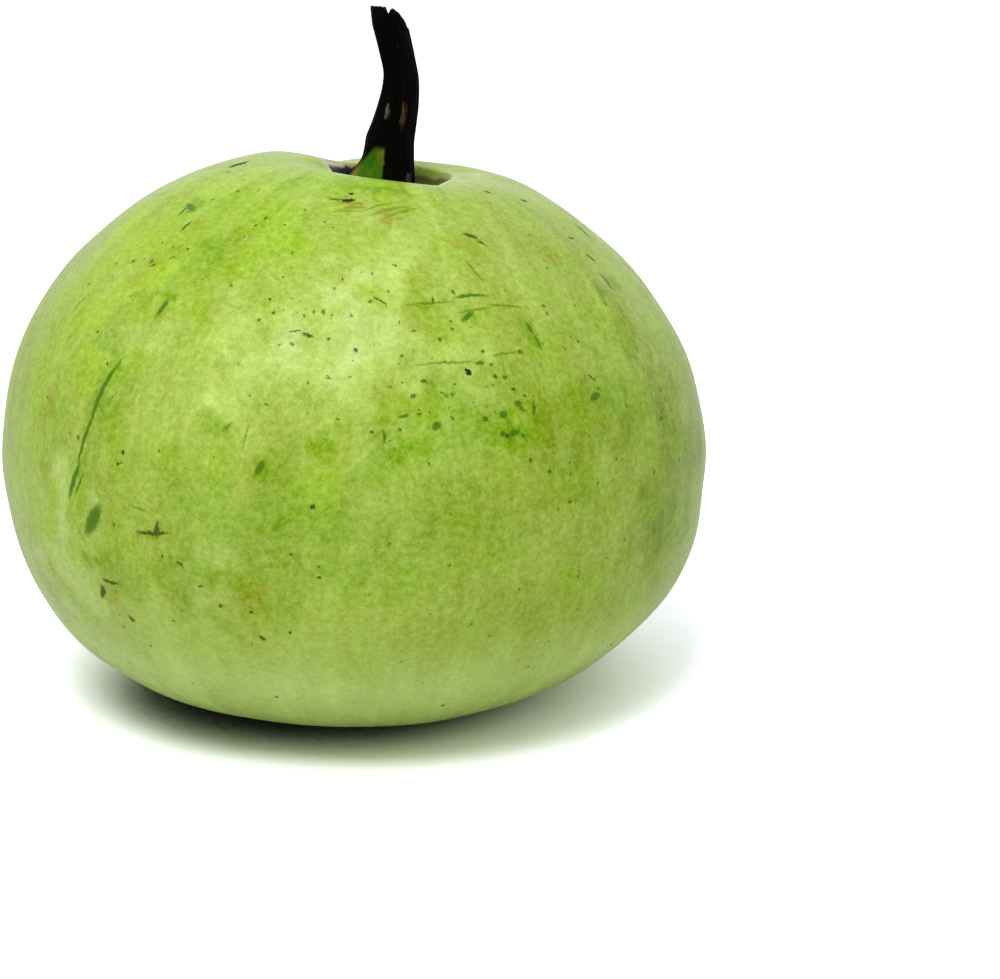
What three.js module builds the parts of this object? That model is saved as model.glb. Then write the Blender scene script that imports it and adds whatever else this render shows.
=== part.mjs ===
// Apple gourd: one whole round bottle gourd, broad and slightly flattened like an apple, lying as it
// settles on its blossom end, with the dry stalk it was cut with still standing in the hollow on top.
// Millimetres, +Z up. Fruit and stalk are shaped about the fruit's own axis, and the crown then leans
// over while the bottom stays level.
import * as THREE from 'three';

// Wall of the fruit about its own axis
const FRUIT_RADIUS = 92.95; // at the widest
const CROWN_HEIGHT = 78.73; // widest part up to the stalk end, before the basin sinks
const BOTTOM_DEPTH = 69.9; // widest part down to the blossom end
const CROWN_FULLNESS = 1.957; // 2 is an ellipse, more is squarer
const BOTTOM_FULLNESS = 2.543;

// Slow lobes round the waist: how many, share of the radius, direction in degrees
const LOBES = [
  { count: 2, depth: 0.008, toward: 35 },
  { count: 3, depth: 0.006, toward: 20 },
  { count: 5, depth: 0.0035, toward: 8 },
];

// Soft swells (+) and dents (-) of the wall: azimuth, height above the waist, spread, rise
const SWELLS = [
  { azimuth: 2, elevation: 18, spread: 11, rise: -0.4 },
  { azimuth: 10, elevation: 47, spread: 13, rise: -0.33 },
  { azimuth: 48, elevation: 76, spread: 14, rise: 0.38 },
  { azimuth: 157, elevation: 62, spread: 14, rise: -0.25 },
  { azimuth: 170, elevation: 38, spread: 12, rise: -0.36 },
  { azimuth: 178, elevation: 2, spread: 8, rise: -0.86 },
  { azimuth: 182, elevation: -7, spread: 8, rise: 1.24 },
  { azimuth: 195, elevation: -42, spread: 11, rise: 1.03 },
  { azimuth: 62, elevation: -6, spread: 16, rise: -0.8 },
  { azimuth: 118, elevation: 28, spread: 14, rise: 0.6 },
  { azimuth: 255, elevation: -30, spread: 15, rise: -0.5 },
];

// Basin round the stalk, the dips that lead out of it, and the hollow the stalk stands in
const BASIN_DEPTH = 9.28;
const BASIN_RADIUS = 23.6;
const DIPS = [
  { x: -20.9, y: 26, radius: 13, depth: 2.92 },
  { x: 8.7, y: -15, radius: 10, depth: 2.19 },
  { x: -5, y: -9, radius: 9, depth: 2.28 },
];
const HOLLOW_X = 0.4;
const HOLLOW_RADIUS = 16.4;
const HOLLOW_DEPTH = 4.5;
const HOLLOW_WALL = 3.6; // width of the steep wall seen from above
const HOLLOW_LIP = 1; // how much of the wall is outside the hollow's radius

// Blossom end: a small sunk scar
const SCAR_RADIUS = 4.6;
const SCAR_DEPTH = 2.7;

// How the fruit lies, and the patch it has settled on
const LEAN_SIDE = 6.8; // degrees, stalk end toward +X
const LEAN_BACK = 5; // degrees, stalk end toward +Y
const LEVEL_BELOW = -60; // no lean under this height, counted from the widest part
const LEANS_ABOVE = 20; // the whole lean from here up
const REST_SINK = 0.9; // how much of the round bottom the resting patch takes off
const REST_EDGE = 0.3; // softness of the patch's edge

// Stalk: centre and radius of its girth at each height, about the fruit's axis
const STALK_GIRTHS = [
  { z: 66.8, x: -2.5, y: -0.1, radius: 9.5 },
  { z: 70.2, x: -2, y: -0.1, radius: 8.75 },
  { z: 72.9, x: -1.1, y: -0.2, radius: 7.3 },
  { z: 75.4, x: -0.6, y: -0.3, radius: 6.35 },
  { z: 79.7, x: -0.15, y: -0.3, radius: 6.1 },
  { z: 83.9, x: 0.45, y: -0.4, radius: 5.6 },
  { z: 88.2, x: 0.9, y: -0.5, radius: 5.2 },
  { z: 92.4, x: 1.1, y: -0.6, radius: 4.8 },
  { z: 96.5, x: 0.8, y: -0.7, radius: 4.55 },
  { z: 100.6, x: -0.35, y: -0.8, radius: 4.55 },
  { z: 104.6, x: -1.5, y: -0.9, radius: 4.6 },
  { z: 108.4, x: -2.8, y: -0.9, radius: 4.65 },
];
const FOOT_X = -2.7;
const FOOT_RADIUS = 9.8;
const SEAT_GAP = 0.3; // thin line between the stalk's foot and the floor of the hollow
const RIDGES = [
  { count: 5, depth: 0.05, toward: 25 },
  { count: 9, depth: 0.018, toward: 70 },
];
const TIP_X = -3.6;
const TIP_Y = -1;
const TIP_RADIUS = 4.9;
const TIP_HEIGHT = 113.9;
const TIP_SLANT = 0.13; // how fast the broken end falls away toward +X
const TIP_BREAK_X = -4.3; // where the fall begins

// Fineness of the two meshes: stretches of the fruit in degrees from the stalk end, and their step
const FRUIT_STRETCHES = [
  [0, 9, 2.25],
  [9, 14, 0.8],
  [14, 26, 3],
  [26, 158, 5.5],
  [158, 180, 2.6],
];
const FRUIT_SIDES = 60;
const STALK_SIDES = 40;

const { degToRad, smoothstep } = THREE.MathUtils;
const ALONG_X = new THREE.Vector3(1, 0, 0);
const ALONG_Y = new THREE.Vector3(0, 1, 0);

function bump(distance, radius) {
  return Math.exp(-((distance / radius) ** 2));
}

// A limit with a soft corner, used for the patch the fruit rests on.
function softFloor(height, softness) {
  if (height > softness) return height;
  if (height < -softness) return 0;
  return (height + softness) ** 2 / (4 * softness);
}

// The crown leans over whole, the bottom stays level, and the waist bends between them.
function leaned(point) {
  const share = smoothstep(point.z, LEVEL_BELOW, LEANS_ABOVE);
  point.applyAxisAngle(ALONG_X, -degToRad(LEAN_BACK) * share);
  return point.applyAxisAngle(ALONG_Y, degToRad(LEAN_SIDE) * share);
}

// How far the crown lies below the plain round form at a place seen from above.
function crownSink(x, y) {
  let sink = BASIN_DEPTH * bump(Math.hypot(x, y), BASIN_RADIUS);
  for (const dip of DIPS) sink += dip.depth * bump(Math.hypot(x - dip.x, y - dip.y), dip.radius);
  const reach = Math.hypot(x - HOLLOW_X, y);
  const outer = HOLLOW_RADIUS + HOLLOW_LIP;
  return sink + HOLLOW_DEPTH * (1 - smoothstep(reach, outer - HOLLOW_WALL, outer));
}

// Skin of the fruit in the direction `down` degrees from the stalk end and `round` degrees about it.
function skin(down, round) {
  const sine = Math.sin(degToRad(down));
  const cosine = Math.cos(degToRad(down));
  const isCrown = cosine >= 0;
  const fullness = isCrown ? CROWN_FULLNESS : BOTTOM_FULLNESS;
  const height = isCrown ? CROWN_HEIGHT : BOTTOM_DEPTH;
  const squareness = (sine / FRUIT_RADIUS) ** fullness + Math.abs(cosine / height) ** fullness;
  const length = squareness ** (-1 / fullness);

  let waist = 0;
  for (const { count, depth, toward } of LOBES) waist += depth * Math.cos(count * degToRad(round - toward));
  let swell = 0;
  const facing = new THREE.Vector3().setFromSphericalCoords(1, degToRad(down), degToRad(round));
  for (const { azimuth, elevation, spread, rise } of SWELLS) {
    const tilt = degToRad(90 - elevation);
    const middle = new THREE.Vector3().setFromSphericalCoords(1, tilt, degToRad(azimuth));
    swell += rise * bump(facing.angleTo(middle), degToRad(spread));
  }

  const reach = (length * (1 + sine ** 2 * waist) + swell) * sine;
  const x = reach * Math.cos(degToRad(round));
  const y = reach * Math.sin(degToRad(round));
  let z = (length + swell) * cosine;
  if (isCrown) z -= crownSink(x, y);
  else z += SCAR_DEPTH * bump(Math.hypot(x, y), SCAR_RADIUS);
  return leaned(new THREE.Vector3(x, y, z));
}

// Floor of the hollow straight below a place near the axis, before the lean.
function hollowFloor(x, y) {
  const reach = Math.hypot(x, y) / FRUIT_RADIUS;
  const crown = CROWN_HEIGHT * (1 - reach ** CROWN_FULLNESS) ** (1 / CROWN_FULLNESS);
  return crown - crownSink(x, y);
}

// One closed skin from a first point, over rings of equal count, to a last point.
function skinOverRings(first, rings, last) {
  const points = [first, ...rings.flat(), last];
  const sides = rings[0].length;
  const faces = [];
  const at = (ring, side) => 1 + ring * sides + (side % sides);
  for (let side = 0; side < sides; side += 1) {
    faces.push(0, at(0, side), at(0, side + 1));
    for (let ring = 0; ring < rings.length - 1; ring += 1) {
      faces.push(at(ring, side), at(ring + 1, side), at(ring + 1, side + 1));
      faces.push(at(ring, side), at(ring + 1, side + 1), at(ring, side + 1));
    }
    faces.push(points.length - 1, at(rings.length - 1, side + 1), at(rings.length - 1, side));
  }
  const geometry = new THREE.BufferGeometry().setFromPoints(points);
  geometry.setIndex(faces);
  return geometry;
}

function fruitGeometry() {
  const rings = [];
  for (const [from, to, step] of FRUIT_STRETCHES) {
    const count = Math.round((to - from) / step);
    for (let part = 0; part < count; part += 1) {
      const down = from + ((to - from) * part) / count;
      if (down === 0) continue;
      rings.push(Array.from({ length: FRUIT_SIDES }, (_, side) => skin(down, (360 * side) / FRUIT_SIDES)));
    }
  }
  const geometry = skinOverRings(skin(0, 0), rings, skin(180, 0));

  // The bottom has settled onto a flat patch.
  geometry.computeBoundingBox();
  const patch = geometry.boundingBox.min.z + REST_SINK;
  const place = geometry.attributes.position;
  for (let i = 0; i < place.count; i += 1) {
    place.setZ(i, patch + softFloor(place.getZ(i) - patch, REST_EDGE));
  }
  geometry.computeBoundingBox();
  geometry.computeVertexNormals();
  return geometry;
}

function stalkGeometry() {
  // Girth with its ridges, which die out toward the middle of the foot and of the broken end.
  const girth = (centreX, centreY, radius, share, heightAt) =>
    Array.from({ length: STALK_SIDES }, (_, side) => {
      const turn = (2 * Math.PI * side) / STALK_SIDES;
      let reach = radius * share;
      for (const { count, depth, toward } of RIDGES) {
        reach += radius * share ** 2 * depth * Math.cos(count * turn - degToRad(toward));
      }
      const x = centreX + reach * Math.cos(turn);
      const y = centreY + reach * Math.sin(turn);
      return leaned(new THREE.Vector3(x, y, heightAt(x, y)));
    });
  const seat = (x, y) => hollowFloor(x, y) + SEAT_GAP;
  const brokenEnd = (x) => TIP_HEIGHT - TIP_SLANT * Math.max(0, x - TIP_BREAK_X) ** 2;

  const top = [0.45, 0.85, 1].map((share) => girth(TIP_X, TIP_Y, TIP_RADIUS, share, brokenEnd));
  const sides = STALK_GIRTHS.map(({ x, y, z, radius }) => girth(x, y, radius, 1, () => z)).reverse();
  const foot = [1, 0.7, 0.35].map((share) => girth(FOOT_X, 0, FOOT_RADIUS, share, seat));

  const first = leaned(new THREE.Vector3(TIP_X, TIP_Y, brokenEnd(TIP_X)));
  const last = leaned(new THREE.Vector3(FOOT_X, 0, seat(FOOT_X, 0)));
  const geometry = skinOverRings(first, [...top, ...sides, ...foot], last);
  geometry.computeVertexNormals();
  return geometry;
}

const skinFinish = new THREE.MeshStandardMaterial({ color: 0xa4c85a, roughness: 0.42, metalness: 0 });
const barkFinish = new THREE.MeshStandardMaterial({ color: 0x1c1710, roughness: 0.85, metalness: 0 });

const fruit = new THREE.Mesh(fruitGeometry(), skinFinish);
fruit.name = 'fruit';

const stalk = new THREE.Mesh(stalkGeometry(), barkFinish);
stalk.name = 'stalk';

// The gourd stands on Z = 0 with the middle of its outline over the origin.
const gourd = new THREE.Group();
gourd.add(fruit, stalk);
const outline = new THREE.Box3().setFromObject(gourd);
gourd.position.set(
  -(outline.min.x + outline.max.x) / 2,
  -(outline.min.y + outline.max.y) / 2,
  -outline.min.z,
);

export default gourd;
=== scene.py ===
import math

import bpy
import numpy as np
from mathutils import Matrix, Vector


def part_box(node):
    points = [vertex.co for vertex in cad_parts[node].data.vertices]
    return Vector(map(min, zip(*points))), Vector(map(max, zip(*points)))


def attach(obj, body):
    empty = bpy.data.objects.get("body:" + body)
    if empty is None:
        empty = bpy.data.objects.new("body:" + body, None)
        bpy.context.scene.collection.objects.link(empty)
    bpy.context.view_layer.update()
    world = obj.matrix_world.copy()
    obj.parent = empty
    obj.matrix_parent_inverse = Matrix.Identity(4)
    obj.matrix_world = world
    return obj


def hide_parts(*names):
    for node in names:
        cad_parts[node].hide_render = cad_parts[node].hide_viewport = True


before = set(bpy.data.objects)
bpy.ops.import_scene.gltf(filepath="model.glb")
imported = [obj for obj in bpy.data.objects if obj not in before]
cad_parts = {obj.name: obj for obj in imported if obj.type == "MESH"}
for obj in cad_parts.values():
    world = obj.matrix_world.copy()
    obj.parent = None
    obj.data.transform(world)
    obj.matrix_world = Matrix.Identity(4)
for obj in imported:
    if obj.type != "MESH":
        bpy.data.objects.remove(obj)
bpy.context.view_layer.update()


# ---- Camera -----------------------------------------------------------------------------------
# A long lens a little above the gourd, looking slightly down on it from the front. The gourd sits
# left of the middle of the view and above it.

MM = 0.001  # sizes are written in millimetres, and Blender's unit is the metre
LENS_LENGTH = 105.0
SENSOR_WIDTH = 36.0
FARTHEST_SEEN = 50.0  # metres
CAMERA_RISE = math.radians(16)
CAMERA_DISTANCE = 780 * MM
GOURD_MIDDLE = Vector((0.2, 0.4, 68.9)) * MM
ASIDE = 38.24 * MM
BELOW = 14.0 * MM

toward_camera = Vector((0, -math.cos(CAMERA_RISE), math.sin(CAMERA_RISE)))
view_up = Vector((0, math.sin(CAMERA_RISE), math.cos(CAMERA_RISE)))

camera_data = bpy.data.cameras.new("camera")
camera_data.lens = LENS_LENGTH
camera_data.sensor_width = SENSOR_WIDTH
camera_data.clip_end = FARTHEST_SEEN
camera = bpy.data.objects.new("camera", camera_data)
camera.location = (
    GOURD_MIDDLE + toward_camera * CAMERA_DISTANCE + Vector((ASIDE, 0, 0)) - view_up * BELOW
)
camera.rotation_euler = (math.pi / 2 - CAMERA_RISE, 0, 0)
bpy.context.scene.collection.objects.link(camera)
bpy.context.scene.camera = camera


# ---- Fruit ------------------------------------------------------------------------------------
# The body of a round bottle gourd, grown in one piece: broad, a little flattened, with a basin and
# a small steep hollow round the stalk. Its thin hard skin is waxy, flecked and scratched, and it
# has settled on a flat patch round the blossom scar.

FRUIT_RADIUS = 92.95
CROWN_HEIGHT = 78.73
BOTTOM_DEPTH = 69.9
CROWN_FULLNESS = 1.957
BOTTOM_FULLNESS = 2.543
LOBES = [(2, 0.008, 35), (3, 0.006, 20), (5, 0.0035, 8)]  # count, depth, toward
SWELLS = [  # azimuth, height above the waist, spread, rise
    (2, 18, 11, -0.4),
    (10, 47, 13, -0.33),
    (48, 76, 14, 0.38),
    (157, 62, 14, -0.25),
    (170, 38, 12, -0.36),
    (178, 2, 8, -0.86),
    (182, -7, 8, 1.24),
    (195, -42, 11, 2.1),
    (62, -6, 16, -0.8),
    (118, 28, 14, 0.6),
    (255, -30, 15, -0.5),
]
BASIN_DEPTH = 9.28
BASIN_RADIUS = 23.6
DIPS = [  # x, y, radius, depth
    (-20.9, 26, 13, 2.92),
    (8.7, -15, 10, 2.19),
    (-5, -9, 9, 2.28),
    (-2, -17, 11.5, 4.3),
    (-16.8, -6.5, 5.2, -1.7),
]
HOLLOW_X = 0.4
HOLLOW_RADIUS = 16.4
HOLLOW_DEPTH = 4.5
HOLLOW_WALL = 3.6
HOLLOW_LIP = 1.0
LIP_WAVES = [(0.22, 3, 1.0), (0.16, 7, 0.0), (0.1, 13, 2.0)]  # size, count, start
SCAR_RADIUS = 4.6
SCAR_DEPTH = 2.7
SCAR_RAYS = 11
SCAR_RAY_SHARE = 0.05
LEAN_SIDE = math.radians(6.8)
LEAN_BACK = math.radians(5)
LEVEL_BELOW = -60
LEANS_ABOVE = 20
REST_SINK = 0.9
REST_EDGE = 0.3

FRUIT_STRETCHES = [  # from, to, step, in degrees from the stalk end
    (0.3, 9, 0.55),
    (9, 15, 0.22),
    (15, 30, 0.6),
    (30, 166, 1.0),
    (166, 179.7, 0.5),
]
FRUIT_SIDES = 320


def bump(distance, radius):
    """A round swelling: 1 in its middle, and nearly gone at twice the radius."""
    return np.exp(-((distance / radius) ** 2))


def eased(low, high, value):
    """A smooth rise from 0 at low to 1 at high."""
    share = np.clip((value - low) / (high - low), 0, 1)
    return share * share * (3 - 2 * share)


def leaned(x, y, z):
    """The crown leans over whole, the bottom stays level, and the waist bends between them."""
    share = eased(LEVEL_BELOW, LEANS_ABOVE, z)
    back, side = LEAN_BACK * share, LEAN_SIDE * share
    y, z = y * np.cos(back) + z * np.sin(back), z * np.cos(back) - y * np.sin(back)
    x, z = x * np.cos(side) + z * np.sin(side), z * np.cos(side) - x * np.sin(side)
    return np.stack([x, y, z], -1)


def crown_sink(x, y):
    """How far the crown lies below the plain round form."""
    sink = BASIN_DEPTH * bump(np.hypot(x, y), BASIN_RADIUS)
    for dip_x, dip_y, radius, depth in DIPS:
        sink = sink + depth * bump(np.hypot(x - dip_x, y - dip_y), radius)
    turn = np.arctan2(y, x - HOLLOW_X)
    uneven = sum(size * np.sin(count * turn + start) for size, count, start in LIP_WAVES)
    reach = np.hypot(x - HOLLOW_X, y) + uneven
    outer = HOLLOW_RADIUS + HOLLOW_LIP
    return sink + HOLLOW_DEPTH * (1 - eased(outer - HOLLOW_WALL, outer, reach))


def skin(down, around, rough=0.0):
    """Points of the skin, in millimetres, by degrees down from the stalk end and around the axis."""
    down, around = np.radians(down), np.radians(around)
    sine, cosine = np.sin(down), np.cos(down)
    is_crown = cosine >= 0
    fullness = np.where(is_crown, CROWN_FULLNESS, BOTTOM_FULLNESS)
    height = np.where(is_crown, CROWN_HEIGHT, BOTTOM_DEPTH)
    length = ((sine / FRUIT_RADIUS) ** fullness + np.abs(cosine / height) ** fullness) ** (-1 / fullness)
    waist = 0
    for count, depth, toward in LOBES:
        waist = waist + depth * np.cos(count * (around - math.radians(toward)))
    facing = np.stack([sine * np.cos(around), sine * np.sin(around), cosine], -1)
    swell = rough
    for *angles, rise in SWELLS:
        azimuth, elevation, spread = np.radians(angles)
        flat = math.cos(elevation)
        middle = np.array([flat * math.cos(azimuth), flat * math.sin(azimuth), math.sin(elevation)])
        swell = swell + rise * bump(np.arccos(np.clip(facing @ middle, -1, 1)), spread)
    reach = (length * (1 + sine**2 * waist) + swell) * sine
    x, y = reach * np.cos(around), reach * np.sin(around)
    z = (length + swell) * cosine
    scar = SCAR_DEPTH * bump(np.hypot(x, y), SCAR_RADIUS) * (1 + SCAR_RAY_SHARE * np.sin(SCAR_RAYS * around))
    z = z + np.where(is_crown, -crown_sink(x, y), scar)
    return leaned(x, y, z)


def closed_skin(name, first, rings, last):
    """A closed mesh, in metres, from a first point, over rings of equal count, to a last point."""
    ring_count, sides = rings.shape[:2]
    points = np.concatenate([[first], rings.reshape(-1, 3), [last]]) * MM
    side = np.arange(sides)
    beside = (side + 1) % sides
    faces = [(0, 1 + a, 1 + b) for a, b in zip(side, beside)]
    for ring in range(ring_count - 1):
        top, below = 1 + ring * sides, 1 + (ring + 1) * sides
        faces += [(top + a, below + a, below + b, top + b) for a, b in zip(side, beside)]
    end = 1 + (ring_count - 1) * sides
    faces += [(len(points) - 1, end + b, end + a) for a, b in zip(side, beside)]
    mesh = bpy.data.meshes.new(name)
    mesh.from_pydata(points.tolist(), [], [tuple(int(i) for i in face) for face in faces])
    mesh.polygons.foreach_set("use_smooth", [True] * len(mesh.polygons))
    mesh.update()
    piece = bpy.data.objects.new(name, mesh)
    bpy.context.scene.collection.objects.link(piece)
    return piece


def stretches(parts):
    """All the steps of the stretches, one after the other."""
    rows = [np.linspace(a, b, max(2, round((b - a) / step)), endpoint=False) for a, b, step in parts]
    return np.append(np.concatenate(rows), parts[-1][1])


# Slow unevenness of a grown wall: many shallow waves through the fruit, the same each time.
WAVE_SEED = 11
WAVE_COUNT = 36
WAVE_SPACINGS = (14, 48)
WAVE_HEIGHT = 0.045  # of a wave with the usual spacing
USUAL_SPACING = 30
WAVE_RADIUS = 85  # how far from the fruit's middle the spacings are measured
wave_source = np.random.default_rng(WAVE_SEED)
waves = [
    (wave_source.normal(size=3), wave_source.uniform(0, 2 * math.pi), wave_source.uniform(*WAVE_SPACINGS))
    for _ in range(WAVE_COUNT)
]


def wall_waves(down, around):
    """How far the waves lift the skin, in millimetres, at the same angles as skin takes."""
    down, around = np.radians(down), np.radians(around)
    facing = np.stack([np.sin(down) * np.cos(around), np.sin(down) * np.sin(around), np.cos(down)], -1)
    total = 0
    for direction, phase, spacing in waves:
        unit = direction / np.linalg.norm(direction)
        height = spacing / USUAL_SPACING
        total = total + np.sin(facing @ unit * 2 * math.pi * WAVE_RADIUS / spacing + phase) * height
    return total * WAVE_HEIGHT


down, around = np.meshgrid(
    stretches(FRUIT_STRETCHES), np.arange(FRUIT_SIDES) * 360 / FRUIT_SIDES, indexing="ij"
)
fruit_rings = skin(down, around, wall_waves(down, around))
fruit_top = skin(np.array(0.0), np.array(0.0))
fruit_bottom = skin(np.array(180.0), np.array(0.0))

# The settled patch, then the place of the CAD fruit.
rest_height = fruit_rings[..., 2].min() + REST_SINK
above = fruit_rings[..., 2] - rest_height
soft_corner = (above + REST_EDGE) ** 2 / (4 * REST_EDGE)
settled = np.where(above > REST_EDGE, above, np.where(above < -REST_EDGE, 0, soft_corner))
fruit_rings[..., 2] = settled + rest_height
fruit_low, fruit_high = (np.array(corner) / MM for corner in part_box("fruit"))
drawn_low, drawn_high = fruit_rings.min((0, 1)), fruit_rings.max((0, 1))
fruit_scale = (fruit_high - fruit_low) / (drawn_high - drawn_low)


def placed(points):
    """From the fruit's own axis to its place in the frame."""
    return fruit_low + (points - drawn_low) * fruit_scale


fruit = closed_skin("gourd_fruit", placed(fruit_top), placed(fruit_rings), placed(fruit_bottom))


def add(tree, kind, inputs=None, **settings):
    """One shader node. Each input is a plain value, or the output that feeds it."""
    node = tree.nodes.new(kind)
    for name, value in settings.items():
        setattr(node, name, value)
    for name, value in (inputs or {}).items():
        if isinstance(value, bpy.types.NodeSocket):
            tree.links.new(value, node.inputs[name])
        else:
            node.inputs[name].default_value = value
    return node


def reckon(tree, operation, *values):
    """The result of one sum on numbers."""
    return add(tree, "ShaderNodeMath", dict(enumerate(values)), operation=operation).outputs[0]


def vector(tree, operation, *values):
    """The result of one sum on vectors: a number for a dot product or a length, else a vector."""
    node = add(tree, "ShaderNodeVectorMath", dict(enumerate(values)), operation=operation)
    return node.outputs["Value" if operation in ("DOT_PRODUCT", "LENGTH", "DISTANCE") else "Vector"]


def scaled(tree, value, scale):
    """A vector times a number."""
    return add(tree, "ShaderNodeVectorMath", {0: value, "Scale": scale}, operation="SCALE").outputs["Vector"]


def ramp(tree, value, nothing, full):
    """A smooth rise from 0 where the value is nothing to 1 where it is full, whichever is larger."""
    inputs = {"Value": value, "From Min": nothing, "From Max": full}
    return add(tree, "ShaderNodeMapRange", inputs, interpolation_type="SMOOTHSTEP").outputs["Result"]


def tinted(tree, share, under, over):
    """The colour under, covered by the colour over where share is 1."""
    mix = add(tree, "ShaderNodeMix", data_type="RGBA")
    for socket, value in ((mix.inputs[0], share), (mix.inputs[6], under), (mix.inputs[7], over)):
        if isinstance(value, bpy.types.NodeSocket):
            tree.links.new(value, socket)
        else:
            socket.default_value = value
    return mix.outputs[2]


def colour(red, green, blue):
    """A paint-chart colour, 0 to 255 a channel, as the linear colour that shaders take."""
    channels = [c / 255 for c in (red, green, blue)]
    return (*(c / 12.92 if c <= 0.04045 else ((c + 0.055) / 1.055) ** 2.4 for c in channels), 1.0)


GROUP_VECTORS = ("Place", "Middle", "Along", "Across")


def new_group(name, inputs, output):
    """An empty shader group, with the sockets that its nodes read from and give to."""
    group = bpy.data.node_groups.new(name, "ShaderNodeTree")
    for label in inputs:
        kind = "NodeSocketVector" if label in GROUP_VECTORS else "NodeSocketFloat"
        group.interface.new_socket(name=label, in_out="INPUT", socket_type=kind)
    group.interface.new_socket(name=output, in_out="OUTPUT", socket_type="NodeSocketFloat")
    return group, group.nodes.new("NodeGroupInput").outputs, group.nodes.new("NodeGroupOutput").inputs


# One mark on a surface: a long patch with drawn-out ends, straight or bent. Along and Across point
# the mark; each is one over the half size that way, so that Spread is 0 in the middle and 1 on the
# edge. The mark goes right through the piece, and is taken off the far side afterwards.
tree, given, result = new_group("mark", ["Place", "Middle", "Along", "Across"], "Spread")
mark_group = tree
from_middle = vector(tree, "SUBTRACT", given["Place"], given["Middle"])
along = vector(tree, "DOT_PRODUCT", from_middle, given["Along"])
across = vector(tree, "DOT_PRODUCT", from_middle, given["Across"])
across_squared = reckon(tree, "MULTIPLY", across, across)
tree.links.new(reckon(tree, "MULTIPLY_ADD", along, along, across_squared), result["Spread"])

tree, given, result = new_group("bent_mark", ["Place", "Middle", "Along", "Across", "Bend"], "Spread")
bent_group = tree
from_middle = vector(tree, "SUBTRACT", given["Place"], given["Middle"])
along = vector(tree, "DOT_PRODUCT", from_middle, given["Along"])
across = vector(tree, "DOT_PRODUCT", from_middle, given["Across"])
along_squared = reckon(tree, "MULTIPLY", along, along)
bowed = reckon(tree, "MULTIPLY_ADD", given["Bend"], reckon(tree, "SUBTRACT", along_squared, 1.0), across)
tree.links.new(reckon(tree, "MULTIPLY_ADD", bowed, bowed, along_squared), result["Spread"])

# Small round flecks, unevenly scattered: Share of them show, and no two are the same size.
FLECK_SMALLEST = 0.5
FLECK_RANGE = 0.9
FLECK_EDGE = (1.25, 0.7)
tree, given, result = new_group("flecks", ["Place", "Spacing", "Share", "Radius"], "Mask")
fleck_group = tree
density = reckon(tree, "DIVIDE", 1.0, given["Spacing"])
cells = add(tree, "ShaderNodeTexVoronoi", {"Vector": given["Place"], "Scale": density}).outputs
chance = add(tree, "ShaderNodeSeparateColor", {0: cells["Color"]}).outputs
chosen = reckon(tree, "LESS_THAN", chance[0], given["Share"])
size_share = reckon(tree, "MULTIPLY_ADD", chance[1], FLECK_RANGE, FLECK_SMALLEST)
size = reckon(tree, "MULTIPLY", given["Radius"], size_share)
away = reckon(tree, "DIVIDE", reckon(tree, "MULTIPLY", cells["Distance"], given["Spacing"]), size)
tree.links.new(reckon(tree, "MULTIPLY", ramp(tree, away, *FLECK_EDGE), chosen), result["Mask"])

# Clouds of tone, of a given size in millimetres, cut off at a low and a high level of the noise.
CLOUD_ROUGHNESS = 0.6
tree, given, result = new_group("clouds", ["Place", "Size", "Detail", "Nothing", "Full"], "Mask")
cloud_group = tree
density = reckon(tree, "DIVIDE", 1.0, given["Size"])
cloud_inputs = {
    "Vector": given["Place"],
    "Scale": density,
    "Detail": given["Detail"],
    "Roughness": CLOUD_ROUGHNESS,
}
noise = add(tree, "ShaderNodeTexNoise", cloud_inputs).outputs[0]
tree.links.new(ramp(tree, noise, given["Nothing"], given["Full"]), result["Mask"])


# What has happened to this skin. Each mark: azimuth and height above the waist in degrees, the turn
# of its length (0 lies round the fruit, 90 points at the stalk), then length, width and bow in mm.
PITS = [
    (202, 60, 105, 6.0, 2.4, 0.2),
    (260.5, 55, 20, 3.6, 1.7, 0.0),
    (260.5, 57.4, 64, 1.5, 1.0, 0.0),
    (257, 54.5, 7, 3.4, 0.5, 0.0),
    (288.2, 21.5, -39, 2.0, 1.3, 0.0),
    (315.5, 62.5, -42, 2.2, 1.1, 0.0),
    (329.5, 59, -12, 2.0, 1.3, 0.0),
    (345.5, 49, -92, 7.0, 0.9, 0.0),
    (354.5, 39.5, -60, 4.8, 0.8, 0.0),
]
SCABS = [
    (241, -6.5, 9, 9.6, 1.1, 0.0),
    (241.8, -6, -95, 4.6, 1.1, 0.0),
    (232.2, -14.3, 0, 5.2, 1.1, 0.0),
    (229.6, -16, -110, 4.6, 1.7, 0.5),
    (234.8, -19, -33, 2.0, 1.4, 0.0),
    (245.8, -9.8, -27, 2.4, 0.6, 0.0),
    (223.5, 40.8, 81, 4.0, 0.9, 0.0),
    (261, 24.6, -4, 3.4, 0.9, 0.0),
    (258.6, 25, 8, 3.0, 0.5, 0.0),
    (294.5, 47.8, -21, 4.2, 1.3, 0.2),
    (297, 46.4, -30, 3.2, 0.8, 0.0),
    (224.2, 31.8, 50, 2.2, 0.8, 0.0),
    (272.5, 32, -33, 4.2, 0.6, 0.3),
    (332, 48, -7, 3.2, 1.1, 0.0),
    (332.5, 43.2, -59, 3.0, 1.3, 0.0),
    (313, 20.8, -32, 3.0, 0.8, 0.0),
    (258.2, -18.8, -50, 2.2, 1.1, 0.0),
]
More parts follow.
